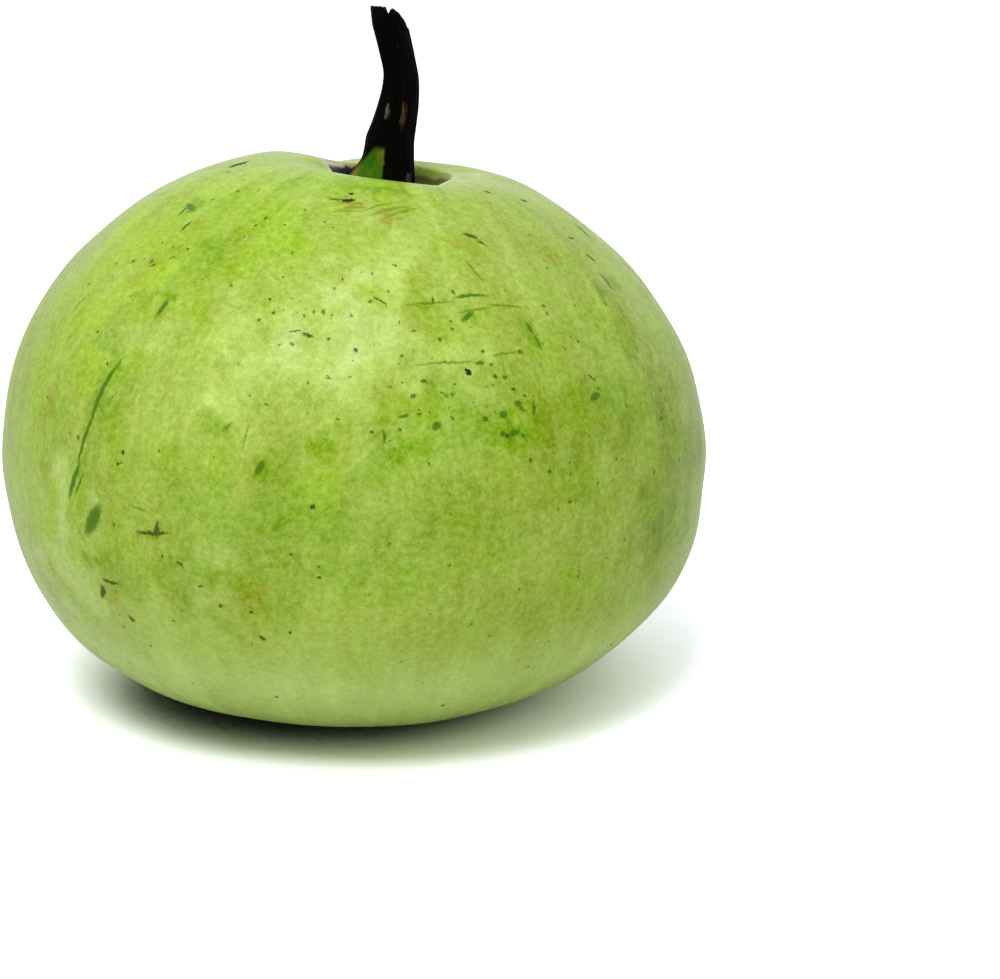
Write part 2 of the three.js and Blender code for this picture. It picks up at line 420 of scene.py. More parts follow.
GASHES = [
    (228.4, 10.0, -104, 18.0, 1.5, -0.8),
    (226.7, 3.4, -105, 17.0, 1.0, -0.5),
    (224.9, -2.6, -110, 10.5, 1.7, -0.3),
    (226.0, -3.0, -114, 8.0, 0.6, -0.2),
    (229.2, -6.8, 61, 9.8, 3.7, 0.0),
    (233, 25, 81, 5.2, 1.4, 0.0),
    (257.4, 4.2, 68, 4.2, 1.7, 0.0),
    (218.2, 45, -18, 5.6, 1.7, 0.0),
    (217.4, 43.6, -74, 4.2, 1.1, 0.0),
    (219.6, 44.2, -120, 3.0, 0.9, 0.0),
    (290.2, 34.4, 8, 8.6, 1.1, 0.4),
    (286.8, 35, -51, 1.8, 0.8, 0.0),
    (289, 30.7, 38, 4.0, 1.6, 0.0),
    (301.2, 29, -69, 4.0, 1.1, 0.0),
    (302.3, 26.5, -71, 4.6, 0.6, 0.0),
    (282.5, 33.2, -97, 2.8, 0.8, 0.0),
    (312.8, 17.8, 22, 4.4, 1.7, 0.2),
    (331.2, 37.8, -86, 6.0, 1.4, 0.0),
    (350.2, 34, -108, 5.0, 1.2, 0.0),
    (295.8, 12.2, 15, 3.6, 1.5, 0.3),
    (299.5, 16, -97, 3.6, 1.3, 0.0),
    (294, 15, 0, 2.4, 2.1, 0.0),
    (296.6, 16.8, 10, 2.0, 1.6, 0.0),
    (277.8, 13.8, 19, 2.8, 0.8, 0.0),
    (274.8, 10.5, -79, 3.8, 0.8, 0.6),
    (290.5, 23, 13, 2.2, 1.1, 0.0),
    (283, 12.8, 46, 2.8, 1.8, 0.0),
]
LINES = [
    (284.5, 22.6, 7, 16.0, 0.7, 0.2),
    (295.2, 24.6, 9, 8.0, 0.7, 0.0),
    (281.8, 32.6, 10, 11.0, 0.7, 0.0),
    (290.8, 32, 12, 10.0, 0.7, 0.0),
    (297, 33, -2, 9.0, 0.8, 0.0),
    (292.5, 39.8, -66, 8.0, 0.7, 0.0),
    (238.5, -3.8, -5, 5.2, 0.6, 0.0),
    (254.5, 8, -95, 6.0, 0.5, 0.0),
    (211.5, 21.5, 69, 5.2, 1.0, 0.0),
    (251.5, 9, 52, 3.6, 0.9, 0.0),
]
ARCS = [
    (256.5, 55, 8, 4.4, 0.8, 0.0),
    (263.8, 54.6, 6, 4.0, 0.7, 0.0),
    (263, 53, 23, 6.0, 1.1, 0.2),
    (262, 51.6, 14, 8.0, 0.7, 0.3),
    (270.5, 54.4, 34, 9.0, 0.8, 0.5),
    (273, 53.2, 30, 10.5, 1.2, 0.6),
    (275, 52, 34, 9.0, 1.0, 0.5),
    (278, 53.4, 30, 8.0, 0.8, 0.5),
]
DOTS = [  # azimuth, height, width in mm
    (253.5, 34.2, 0.8),
    (252.5, 29.8, 0.8),
    (254, 27.5, 1.0),
    (258.2, 28.2, 0.7),
    (259.5, 27.8, 0.7),
    (256.5, 30.5, 0.7),
    (264.2, 28.5, 0.8),
    (264.5, 24.5, 1.1),
    (269.2, 23.2, 1.2),
    (262.5, 17.2, 0.9),
    (253.8, 14, 0.9),
    (274, 34, 1.0),
    (279, 27.5, 0.8),
    (291.2, 24.8, 1.1),
    (298.2, 25, 1.7),
    (276.5, 21.8, 1.0),
    (293, 21, 1.4),
    (291.2, 19.2, 1.0),
    (284.5, 17.5, 1.8),
    (289.2, 16.2, 0.9),
    (291.2, 16.2, 1.0),
    (296, 19, 1.1),
    (294.5, 11.8, 1.3),
    (273.2, 11, 1.1),
    (306.2, 33.2, 1.2),
    (306.5, 31.8, 1.1),
    (315, 33.5, 0.9),
    (234.8, 2.8, 1.2),
    (234, 1.2, 1.3),
    (242.8, -9.2, 0.8),
    (218, 31.5, 1.6),
    (221.5, 18.5, 0.9),
    (227.2, 14.2, 0.9),
    (237, -23, 1.2),
    (250.2, 4.5, 0.8),
    (265.8, 0, 1.3),
    (263.2, -6.5, 1.0),
    (267.5, -9.2, 1.1),
    (256.8, -15, 1.0),
    (262.8, -17.5, 1.0),
    (232.2, -20.8, 1.0),
    (226, 51.8, 1.3),
]


MARK_STEP = 0.5  # degrees, to the points that show which way the skin lies


def mark_place(azimuth, height):
    """Middle of a mark in the frame, in millimetres, with the ways east, toward the stalk and out."""
    down = 90.0 - np.array([height, height, height + MARK_STEP])
    around = np.array([azimuth, azimuth + MARK_STEP, azimuth])
    middle, beside, above = (Vector(point) for point in placed(skin(down, around)))
    east = (beside - middle).normalized()
    out = east.cross(above - middle).normalized()
    return middle, east, out.cross(east), out


def marked(tree, place, marks):
    """Spread of the nearest of the marks: under 1 on a mark."""
    nearest = None
    for azimuth, height, turn, length, width, bow in marks:
        middle, east, north, out = mark_place(azimuth, height)
        turn = math.radians(turn)
        along = east * math.cos(turn) + north * math.sin(turn)
        mark = {
            "Place": place,
            "Middle": middle,
            "Along": along / (length / 2),
            "Across": out.cross(along) / (width / 2),
        }
        if bow:
            mark["Bend"] = bow / (width / 2)
        group = bent_group if bow else mark_group
        spread = add(tree, "ShaderNodeGroup", mark, node_tree=group).outputs["Spread"]
        nearest = spread if nearest is None else reckon(tree, "MINIMUM", nearest, spread)
    return nearest


def dotted(tree, place, dots):
    """How many half widths away the nearest dot is."""
    nearest = None
    for azimuth, height, width in dots:
        middle = mark_place(azimuth, height)[0]
        away = reckon(tree, "MULTIPLY", vector(tree, "DISTANCE", place, middle), 2 / width)
        nearest = away if nearest is None else reckon(tree, "MINIMUM", nearest, away)
    return nearest


# Wide parts of the skin in other tones. They are wider than the faces of the mesh, so they are
# painted on its corners. Each part: azimuth, height, turn, length and width, as a mark has.
PART_DEPTH = 60.0  # how far a wide part reaches into the fruit, and a patch
PATCH_DEPTH = 9.0
PART_EDGE = (0.1, 1.3)  # the spread where a part is full, and where it ends
NO_PART = 9.0  # a spread far outside any part
SUNNY_PARTS = [
    (214, 34, 80, 110, 44), (208, -2, 85, 60, 34), (350, 40, 100, 60, 30), (60, 30, 80, 90, 50),
    (120, -5, 80, 70, 40),
]
FRESH_PARTS = [
    (243, 52, 20, 60, 26), (262, 62, 0, 44, 18), (233, 36, 100, 40, 26), (95, 50, 20, 60, 30),
    (30, 10, 80, 50, 30), (150, 20, 70, 60, 26),
]
# Paler parts: the four on the front are a painted highlight spread round the lamp's reflection; the two
# elsewhere are paler skin.
PALE_AND_HIGHLIGHT_PARTS = [
    (266, 27, -20, 62, 36), (272, 40, 80, 32, 20), (280, 24, -20, 40, 22), (253, 18, 50, 44, 24),
    (110, 25, 40, 50, 30), (20, 35, 60, 40, 24),
]
WAXY_PARTS = [
    (238, 20, 90, 48, 26), (300, 48, -30, 80, 30), (311, 34, -60, 56, 30), (337, 14, 90, 70, 26),
    (75, -10, 0, 90, 34), (170, 45, 60, 50, 30),
]
# Deeper green parts: those low on the front and to the right are partly painted shade, as from something
# standing beside the gourd; the rest is deeper green skin.
DEEP_AND_SHADE_PARTS = [
    (268, -3, 0, 110, 30), (284, 11, 10, 60, 24), (250, -10, 10, 60, 24), (229, 16, 84, 84, 14),
]
# Dark olive parts: the three on the front right are partly painted shade, as from something standing beside
# the gourd; the two on the back are darker skin.
DARK_AND_SHADE_PARTS = [
    (316, 14, 20, 62, 34), (335, 2, 60, 50, 40), (326, 26, 90, 36, 16), (50, -5, 10, 50, 30),
    (140, -20, 0, 60, 24),
]
# A painted highlight: whitish patches on the front, where the lamp's reflection falls.
PAINTED_HIGHLIGHT_PARTS = [
    (264, 27, -24, 34, 18), (259, 31, 60, 16, 8), (273, 30, 40, 14, 9),
]
FAIR_PARTS = [(222, -12, 80, 44, 30)]
THIN_DEEP_PARTS = [(293, 19, 20, 34, 22)]
THIN_FAIR_PARTS = [(238, -19, 10, 60, 26)]
BRUISES = [
    (236, 37.2, 118, 14, 9),
    (238.5, 41, 90, 9, 5),
    (249.2, 9.2, 15, 8, 6),
    (252, 8, 60, 8, 3),
    (314.8, 26.2, -50, 14, 3.6),
    (317, 18, -70, 15, 5),
    (279, 9, 20, 15, 6),
    (274, 4.5, 20, 9, 6),
    (289, 31, 38, 7, 4),
    (283, 33, 10, 16, 3),
    (268, 60, 0, 22, 5),
    (241, 58.5, 67, 12, 5),
    (294, 12.5, 0, 24, 6),
    (289, 15, 0, 8, 6),
    (299.5, 16, -97, 7, 4),
    (313, 18, 22, 8, 4),
    (258, 4, 68, 8, 6),
    (266, 8, 20, 10, 5),
    (233, 26, 81, 9, 4),
    (218.5, 45.5, 20, 9, 6),
    (262, -2, 30, 14, 6),
    (301, 27.5, -69, 11, 4),
    (230, -12, 20, 10, 5),
    (70, 20, 60, 10, 5),
    (100, -5, 20, 12, 6),
    (130, 35, 80, 14, 5),
    (30, 30, 100, 12, 5),
    (85, 40, 10, 10, 5),
    (64, 12, 98, 22, 2.4),
    (125, 20, 15, 18, 2.2),
    (98, -18, 60, 14, 2.2),
    (172, 28, 70, 12, 4),
]
TANS = [
    (222.5, 30, 75, 14, 9),
    (226.5, 34, 60, 8, 5),
    (229, 24, 80, 9, 4),
    (273.5, 50, 29, 7, 3),
    (215, 5, 80, 22, 7),
    (334, 45.8, -40, 20, 9),
    (249, 14.5, 90, 6, 2),
    (316, 45.5, -62, 14, 7),
    (256, -13, 10, 18, 11),
    (244, -14, 0, 9, 6),
    (224, 41, 60, 10, 4),
    (218, -2, 70, 16, 6),
    (330, 30, 80, 12, 6),
    (231, -15.5, 0, 8, 5),
    (241, -6.5, 9, 12, 4),
    (293, 45, -25, 12, 6),
    (260, 24.5, 0, 9, 3),
    (60, 5, 80, 16, 8),
    (115, 12, 30, 12, 6),
    (150, -10, 60, 14, 8),
    (90, 60, 20, 10, 5),
    (15, 18, 80, 14, 7),
]
RUSTS = [
    (273.6, 50.2, 28, 7, 3),
    (272, 52.6, 30, 7, 1.8),
    (261.4, 54.4, 12, 7, 3.4),
    (262.5, 52.8, 20, 5, 1.6),
]
CREAMS = [(4, 73, 95, 12, 6), (352, 72, 60, 8, 4), (330, 74, 30, 8, 3)]
WORN_PARTS = [
    (290, 19, 10, 70, 40), (260, 29, 0, 34, 24), (268, 47, 0, 20, 12), (222, 30, 80, 24, 16),
    (80, 25, 20, 60, 30), (140, 0, 40, 50, 26), (20, 0, 80, 40, 24),
]


DRIFT_WAVES = 26
DRIFT_RANGE = (0.6, 1.8)
DRIFT_EVEN = 3.6  # brings the sum of the waves back to about one either way


def drift(points, spacing, seed):
    """Slow noise through the fruit, about one either way, of a given spacing in millimetres."""
    source = np.random.default_rng(seed)
    total = 0
    for _ in range(DRIFT_WAVES):
        way = source.normal(size=3)
        way *= 2 * math.pi / (spacing * source.uniform(*DRIFT_RANGE) * np.linalg.norm(way))
        total = total + np.sin(points @ way + source.uniform(0, 2 * math.pi))
    return total / DRIFT_EVEN


corners = np.concatenate([
    [placed(fruit_top)],
    placed(fruit_rings).reshape(-1, 3),
    [placed(fruit_bottom)],
])
corner_height = 90 - np.concatenate([[0], down.reshape(-1), [180]])

# How far the edge of a part strays, in millimetres: widely for a wide part, a little for a patch.
STRAY_SEEDS = (1, 2, 3)
PART_STRAY = 5.0
PATCH_STRAY = 0.9
WIDE_SPACING, MIDDLE_SPACING, NARROW_SPACING = 16, 7, 5
wide_stray = [
    drift(corners, WIDE_SPACING, seed) + 0.6 * drift(corners, MIDDLE_SPACING, seed + 9)
    for seed in STRAY_SEEDS
]
narrow_stray = [drift(corners, NARROW_SPACING, seed + 30) for seed in STRAY_SEEDS]
loose = PART_STRAY * np.stack(wide_stray, -1)
uneven = PATCH_STRAY * np.stack(narrow_stray, -1)


def part(parts, moves=loose, depth=PART_DEPTH):
    """Share, on each corner of the fruit's mesh, of the nearest of the parts."""
    nearest = np.full(len(corners), NO_PART)
    for azimuth, height, turn, length, width in parts:
        middle, east, north, out = mark_place(azimuth, height)
        turn = math.radians(turn)
        along = east * math.cos(turn) + north * math.sin(turn)
        away = corners + moves - np.array(middle)
        spread = (away @ (along / (length / 2))) ** 2 + (away @ (out.cross(along) / (width / 2))) ** 2
        nearest = np.minimum(nearest, spread + (away @ (out / depth)) ** 2)
    return 1 - eased(*PART_EDGE, nearest)


def painted(tone, share, over):
    """The tone of each corner, covered by the colour over where share is 1."""
    return tone + (np.array(over[:3]) - tone) * np.clip(share, 0, 1)[:, None]


SKIN_GREEN = colour(164, 190, 72)
SUNNY_GREEN = colour(168, 204, 48)
FRESH_GREEN = colour(152, 191, 36)
PALE_AND_HIGHLIGHT_GREEN = colour(188, 216, 106)
WAXY_GREEN = colour(167, 192, 82)
DEEP_AND_SHADE_GREEN = colour(142, 177, 56)
DARK_AND_SHADE_GREEN = colour(126, 155, 8)
PAINTED_HIGHLIGHT_GREEN = colour(206, 230, 138)
FAIR_GREEN = colour(194, 220, 124)
PALE_GREEN = colour(172, 197, 100)
BRUISE_GREEN = colour(122, 166, 0)
TAN = colour(156, 166, 40)
RUST = colour(162, 150, 42)
CREAM = colour(218, 216, 150)

PART_TONES = [  # parts, how strong, colour
    (SUNNY_PARTS, 0.8, SUNNY_GREEN),
    (WAXY_PARTS, 0.9, WAXY_GREEN),
    (FRESH_PARTS, 0.8, FRESH_GREEN),
    (PALE_AND_HIGHLIGHT_PARTS, 1.0, PALE_AND_HIGHLIGHT_GREEN),
    (PAINTED_HIGHLIGHT_PARTS, 0.7, PAINTED_HIGHLIGHT_GREEN),
    (DEEP_AND_SHADE_PARTS, 0.9, DEEP_AND_SHADE_GREEN),
    (DARK_AND_SHADE_PARTS, 0.85, DARK_AND_SHADE_GREEN),
]
mixed = drift(corners, 13, 20)
tone = np.tile(SKIN_GREEN[:3], (len(corners), 1))
for parts, strength, over in PART_TONES:
    tone = painted(tone, part(parts) * strength, over)

# Below the waist the tone is made fairer, and then paler and duller toward the face it rests on.
FAIR_BELOW = (16, 30)  # degrees below the waist
PALE_BELOW = (26, 42)
tone = painted(tone, eased(*FAIR_BELOW, -corner_height) * 0.8, FAIR_GREEN)
tone = painted(tone, part(FAIR_PARTS) * 0.8, FAIR_GREEN)
tone = painted(tone, eased(*PALE_BELOW, -corner_height), PALE_GREEN)

# Slow mottling, the fresh green only above the lower part, then the thin tones and the patches.
FRESH_ABOVE = (-25, -5)  # degrees above the waist
tone = painted(tone, (0.1 + 0.22 * mixed) * eased(*FRESH_ABOVE, corner_height), FRESH_GREEN)
tone = painted(tone, 0.1 + 0.16 * drift(corners, 17, 21), WAXY_GREEN)
tone = painted(tone, part(THIN_DEEP_PARTS) * 0.45, DEEP_AND_SHADE_GREEN)
tone = painted(tone, part(THIN_FAIR_PARTS) * 0.3, FAIR_GREEN)
tone = painted(tone, part(TANS, uneven, PATCH_DEPTH) * (0.44 + 0.14 * mixed), TAN)
tone = painted(tone, part(BRUISES, uneven, PATCH_DEPTH) * (0.72 + 0.15 * mixed), BRUISE_GREEN)
tone = painted(tone, part(RUSTS, uneven * 0.5, PATCH_DEPTH) * 0.7, RUST)
tone = painted(tone, part(CREAMS, uneven, PATCH_DEPTH) * 0.5, CREAM)

# The fourth number of the paint is how strong the fine grain is there: less below the waist.
GRAIN_ABOVE = 1.05
GRAIN_LOST = 0.45
GRAIN_FADES = (8, 30)  # degrees below the waist
grain_share = GRAIN_ABOVE - GRAIN_LOST * eased(*GRAIN_FADES, -corner_height)
paint = fruit.data.color_attributes.new("skin_tone", "FLOAT_COLOR", "POINT")
paint.data.foreach_set("color", np.concatenate([tone, grain_share[:, None]], 1).astype(np.float32).ravel())

# The share of the small flecks that show: few all over, and most where the skin is worn.
FLECKS_EVERYWHERE = 0.06
FLECKS_WHERE_WORN = 0.6
worn = fruit.data.attributes.new("worn", "FLOAT", "POINT")
worn_shares = FLECKS_EVERYWHERE + FLECKS_WHERE_WORN * part(WORN_PARTS)
worn.data.foreach_set("value", worn_shares.astype(np.float32))


skin_finish = bpy.data.materials.new("gourd_skin")
skin_finish.use_nodes = True
tree = skin_finish.node_tree
tree.nodes.clear()
place = scaled(tree, add(tree, "ShaderNodeTexCoord").outputs["Object"], 1 / MM)


def unleaned(tree, place):
    """The same place about the fruit's own axis, with the lean taken out."""
    from_waist = vector(tree, "SUBTRACT", place, GOURD_MIDDLE / MM)
    height = add(tree, "ShaderNodeSeparateXYZ", {0: from_waist}).outputs[2]
    lean_share = ramp(tree, height, LEVEL_BELOW, LEANS_ABOVE)
    aside = {"Vector": from_waist, "Angle": reckon(tree, "MULTIPLY", lean_share, -LEAN_SIDE)}
    straight = add(tree, "ShaderNodeVectorRotate", aside, rotation_type="Y_AXIS").outputs[0]
    back = {"Vector": straight, "Angle": reckon(tree, "MULTIPLY", lean_share, LEAN_BACK)}
    return add(tree, "ShaderNodeVectorRotate", back, rotation_type="X_AXIS").outputs[0]


def clouds(place, size, nothing, full, detail=3.0, aside=0.0):
    """Cloud mask in a material; aside moves to another part of the noise."""
    inputs = {"Place": place, "Size": size, "Detail": detail, "Nothing": nothing, "Full": full}
    if aside:
        inputs["Place"] = vector(tree, "ADD", place, (aside, aside, aside))
    return add(tree, "ShaderNodeGroup", inputs, node_tree=cloud_group).outputs["Mask"]


def flecks(place, spacing, share, radius):
    """Fleck mask in a material; share is how many of the flecks show."""
    inputs = {"Place": place, "Spacing": spacing, "Share": share, "Radius": radius}
    return add(tree, "ShaderNodeGroup", inputs, node_tree=fleck_group).outputs["Mask"]


def times(*masks):
    """The product of masks and plain numbers, the first of which is a mask."""
    product = masks[0]
    for mask in masks[1:]:
        product = reckon(tree, "MULTIPLY", product, mask)
    return product


def moved(noise, amount):
    """The place, moved unevenly by a noise, so that a mark there gets a torn edge."""
    shift = vector(tree, "SUBTRACT", noise.outputs["Color"], (0.5, 0.5, 0.5))
    return vector(tree, "MULTIPLY_ADD", shift, (amount, amount, amount), place)


GRAIN_LOOK = {"Scale": 0.6, "Detail": 3.0, "Roughness": 0.85}
TEAR = 2.6
SCRAPE = 1.7
upright = unleaned(tree, place)
own_back, own_height = add(tree, "ShaderNodeSeparateXYZ", {0: upright}).outputs[1:]
grain = add(tree, "ShaderNodeTexNoise", {"Vector": place, **GRAIN_LOOK})
torn_place = moved(grain, TEAR)
scraped_place = moved(grain, SCRAPE)

# Brushed streaks, from stalk to blossom end, finer toward the stalk.
STREAK_ROUND = 60
STREAK_ALONG = 0.12
STREAK_LOOK = {"Scale": 0.22, "Detail": 3.0, "Roughness": 0.65}
level = vector(tree, "NORMALIZE", vector(tree, "MULTIPLY", upright, (1.0, 1.0, 0.0)))
rise = vector(tree, "MULTIPLY", upright, (0.0, 0.0, STREAK_ALONG))
streak_place = vector(tree, "MULTIPLY_ADD", level, (STREAK_ROUND,) * 3, rise)
streaks = add(tree, "ShaderNodeTexNoise", {"Vector": streak_place, **STREAK_LOOK}).outputs[0]

# Cloudy wax, brushed the same way, and wider mottling that is drawn out less.
MOTTLE_ALONG = 0.4
WAX_ASIDE = 77.0
MOTTLE_ASIDE = 151.0
waxy = clouds(streak_place, 7, 0.38, 0.7, 4.0, WAX_ASIDE)
mottle_rise = vector(tree, "MULTIPLY", upright, (0.0, 0.0, MOTTLE_ALONG))
mottle_place = vector(tree, "MULTIPLY_ADD", level, (STREAK_ROUND,) * 3, mottle_rise)
mottled = clouds(mottle_place, 9.0, 0.36, 0.66, 2.5, MOTTLE_ASIDE)

ARC_OLIVE = colour(116, 134, 4)
LINE_GREEN = colour(96, 126, 0)
GASH_GREEN = colour(74, 120, 0)
SCAB_BROWN = colour(64, 80, 0)
PIT_DARK = colour(24, 30, 0)
DOT_GREEN = colour(50, 70, 0)

# Grain, streaks, wax and mottling lighten and darken the skin, the green most. Each has its full
# range of light and how far that reaches below nothing.
GRAIN_LIGHT = (0.4, 0.56, 0.2)
skin_tone = add(tree, "ShaderNodeAttribute", attribute_name="skin_tone").outputs
light = reckon(tree, "MULTIPLY_ADD", grain.outputs[0], 1.1, -0.55)
light = times(light, skin_tone["Alpha"])
for mask, full, below in ((streaks, 0.34, -0.17), (waxy, 0.1, -0.04), (mottled, 0.1, -0.05)):
    light = reckon(tree, "ADD", light, reckon(tree, "MULTIPLY_ADD", mask, full, below))
tone = vector(tree, "ADD", skin_tone["Color"], scaled(tree, GRAIN_LIGHT, light))

# The marks, from the faintest to the darkest. Each edge: the spread where a mark starts, and the
# spread where it is full. The long marks go right through the fruit, so front takes them off its back.
FRONT_EDGE = (0.0, -4.0)  # millimetres behind the axis
LINE_EDGE = (1.8, 0.2)
DOT_EDGE = (1.25, 0.5)
GASH_EDGE = (1.6, 0.3)
PIT_EDGE = (1.6, 0.4)
FLECK_SPACING = 2.4
FLECK_RADIUS = 0.46
front = ramp(tree, own_back, *FRONT_EDGE)
worn_share = add(tree, "ShaderNodeAttribute", attribute_name="worn").outputs["Fac"]
arcs = ramp(tree, marked(tree, scraped_place, ARCS), *LINE_EDGE)
tone = tinted(tree, times(front, arcs, 0.7), tone, ARC_OLIVE)
lines = ramp(tree, marked(tree, scraped_place, LINES), *LINE_EDGE)
tone = tinted(tree, times(front, lines, 0.65), tone, LINE_GREEN)
small_flecks = flecks(torn_place, FLECK_SPACING, worn_share, FLECK_RADIUS)
tone = tinted(tree, times(small_flecks, 0.75), tone, DOT_GREEN)
dots = ramp(tree, dotted(tree, scraped_place, DOTS), *DOT_EDGE)
tone = tinted(tree, times(dots, 0.9), tone, DOT_GREEN)
gashes = ramp(tree, marked(tree, scraped_place, GASHES), *GASH_EDGE)
tone = tinted(tree, times(front, gashes, 0.95), tone, GASH_GREEN)
scabs = times(front, ramp(tree, marked(tree, torn_place, SCABS), *GASH_EDGE))
tone = tinted(tree, times(scabs, 0.9), tone, SCAB_BROWN)
pits = times(front, ramp(tree, marked(tree, torn_place, PITS), *PIT_EDGE))
tone = tinted(tree, pits, tone, PIT_DARK)

# The hollow round the stalk: a pale lip, a wall that is corky on the left and olive and speckled on
# the right, going brown low down partly as russet and partly as painted shade, and a brown floor,
# with a near-black band of painted shade under the lip on the left.
LIP_PALE = colour(212, 216, 150)
CORK = colour(246, 240, 222)
CORK_BROWN = colour(186, 158, 112)
WALL_OLIVE = colour(132, 146, 50)
RUSSET_AND_SHADE_BROWN = colour(76, 76, 12)
FLOOR_BROWN = colour(116, 126, 40)
PAINTED_SHADE_BLACK = colour(14, 11, 4)
HOLLOW_ROUGH = 1.4  # how far the grain makes the rings of colour stray
CROWN_HEIGHTS = (30.0, 40.0)  # above the waist, so that the underside has no rings
NEAR_EDGE = (2.0, -8.0)
LEFT_EDGE = (-3.0, -7.0)
CORK_EDGE = (-14.5, -10.5)
LIP_STARTS, LIP_ENDS = (15.6, 16.6), (17.6, 20.2)  # millimetres from the middle of the hollow
WALL_STARTS, WALL_BROWNS = (17.1, 16.5), (16.5, 14.9)
FLOOR_STARTS = (15.2, 14.2)
GLOOM_STARTS, GLOOM_ENDS = (16.5, 15.9), (14.6, 13.0)
from_hollow = vector(tree, "SUBTRACT", upright, (HOLLOW_X, 0.0, 0.0))
hollow_side, hollow_back = add(tree, "ShaderNodeSeparateXYZ", {0: from_hollow}).outputs[:2]
hollow_reach = vector(tree, "LENGTH", vector(tree, "MULTIPLY", from_hollow, (1.0, 1.0, 0.0)))
even_reach = reckon(tree, "SUBTRACT", hollow_reach, HOLLOW_ROUGH / 2)
hollow_reach = reckon(tree, "MULTIPLY_ADD", grain.outputs[0], HOLLOW_ROUGH, even_reach)


def hollow_band(starts, ends):
    """A ring round the hollow, from where it starts to where it ends."""
    return reckon(tree, "SUBTRACT", ramp(tree, hollow_reach, *starts), ramp(tree, hollow_reach, *ends))


is_crown = ramp(tree, own_height, *CROWN_HEIGHTS)
near = ramp(tree, hollow_back, *NEAR_EDGE)
left = ramp(tree, hollow_side, *LEFT_EDGE)
lip_strength = reckon(tree, "MULTIPLY_ADD", near, 0.65, 0.15)
tone = tinted(tree, times(is_crown, hollow_band(LIP_STARTS, LIP_ENDS), lip_strength), tone, LIP_PALE)
# Low in the hollow the wall turns brown: partly russet, partly painted shade in the recess.
low_russet_and_shade = reckon(tree, "ADD", ramp(tree, hollow_reach, *WALL_BROWNS), grain.outputs[0])
wall = tinted(tree, ramp(tree, low_russet_and_shade, 0.7, 1.15), WALL_OLIVE, RUSSET_AND_SHADE_BROWN)
cork = tinted(tree, ramp(tree, hollow_side, *CORK_EDGE), CORK, CORK_BROWN)
wall = tinted(tree, left, wall, cork)
tone = tinted(tree, times(is_crown, ramp(tree, hollow_reach, *WALL_STARTS)), tone, wall)
low_floor = tinted(tree, ramp(tree, grain.outputs[0], 0.4, 0.65), FLOOR_BROWN, RUSSET_AND_SHADE_BROWN)
tone = tinted(tree, times(is_crown, ramp(tree, hollow_reach, *FLOOR_STARTS)), tone, low_floor)
# Painted shade: a near-black band low on the hollow's left wall, under the lip.
painted_shade_band = hollow_band(GLOOM_STARTS, GLOOM_ENDS)
tone = tinted(tree, times(is_crown, left, painted_shade_band), tone, PAINTED_SHADE_BLACK)

# Relief too fine for the mesh: the fine grain of the skin. Wax, scabs and pits take its gloss off.
SKIN_RELIEF = {"Strength": 0.25, "Distance": 1.0 * MM}
SKIN_ROUGHNESS = 0.26
WAX_DULLS = 0.06
SCABS_DULL = 0.3
SKIN_IOR = 1.22
skin_bump = add(tree, "ShaderNodeBump", {**SKIN_RELIEF, "Height": grain.outputs[0]})
dull = reckon(tree, "MULTIPLY_ADD", waxy, WAX_DULLS, SKIN_ROUGHNESS)
dull = reckon(tree, "MULTIPLY_ADD", reckon(tree, "MAXIMUM", scabs, pits), SCABS_DULL, dull)
skin_shader = add(
    tree,
    "ShaderNodeBsdfPrincipled",
    {"Base Color": tone, "Roughness": dull, "Normal": skin_bump.outputs[0], "IOR": SKIN_IOR},
)
add(tree, "ShaderNodeOutputMaterial", {"Surface": skin_shader.outputs[0]})
fruit.data.materials.append(skin_finish)
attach(fruit, "root")
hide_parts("fruit")


# ---- Stalk ------------------------------------------------------------------------------------
# The dry stalk the gourd hung from: blackened bark in long ridges, a flared foot grown into the
# hollow with some green left in it, and a torn slanting end.

STALK_GIRTHS = np.array([  # height, x, y, radius
    (66.8, -2.4, -0.1, 9.6),
    (69.6, -1.7, -0.1, 8.7),
    (70.8, -1.15, -0.15, 8.05),
    (71.8, -0.65, -0.2, 7.45),
    (73.2, -0.3, -0.2, 6.95),
    (74.6, -0.15, -0.25, 6.6),
    (76.5, -0.1, -0.3, 6.35),
    (79.7, -0.15, -0.3, 6.1),
    (83.9, 0.45, -0.4, 5.6),
    (88.2, 0.9, -0.5, 5.2),
    (92.4, 1.1, -0.6, 4.8),
    (96.5, 0.8, -0.7, 4.55),
    (100.6, -0.45, -0.8, 4.55),
    (104.6, -1.8, -0.9, 4.6),
    (108.4, -3.2, -0.9, 4.65),
])
STALK_SIDES = 144
STALK_ROWS = 130
FOOT_X = -2.7
FOOT_RADIUS = 9.8
SEAT_GAP = 0.3
TIP_X, TIP_Y = -4.0, -1.0
TIP_RADIUS = 4.8
TIP_HEIGHT = 113.75
TIP_SLANT = 0.13
TIP_BREAK_X = -4.3
NOTCH_X, NOTCH_WIDTH, NOTCH_DEPTH = -4.1, 0.45, 1.6
TIP_FIBRES = [(0.25, 5.1, 1.3), (0.18, -6.3, 3.7)]  # height, waves toward x, waves toward y
FIBRE_SINK = 0.75
BARK_RIDGES = [  # count, depth, toward
    (5, 0.05, 25),
    (9, 0.018, 70),
    (17, 0.012, 10),
    (29, 0.009, 50),
    (43, 0.006, 0),
]
RIDGE_WANDER = 0.35  # radians either way
RIDGE_PACE = 0.045  # radians for each row of the mesh


def hollow_floor(x, y):
    """Height of the fruit's crown under the stalk."""
    reach = np.hypot(x, y) / FRUIT_RADIUS
    crown = CROWN_HEIGHT * (1 - reach**CROWN_FULLNESS) ** (1 / CROWN_FULLNESS)
    return crown - crown_sink(x, y)


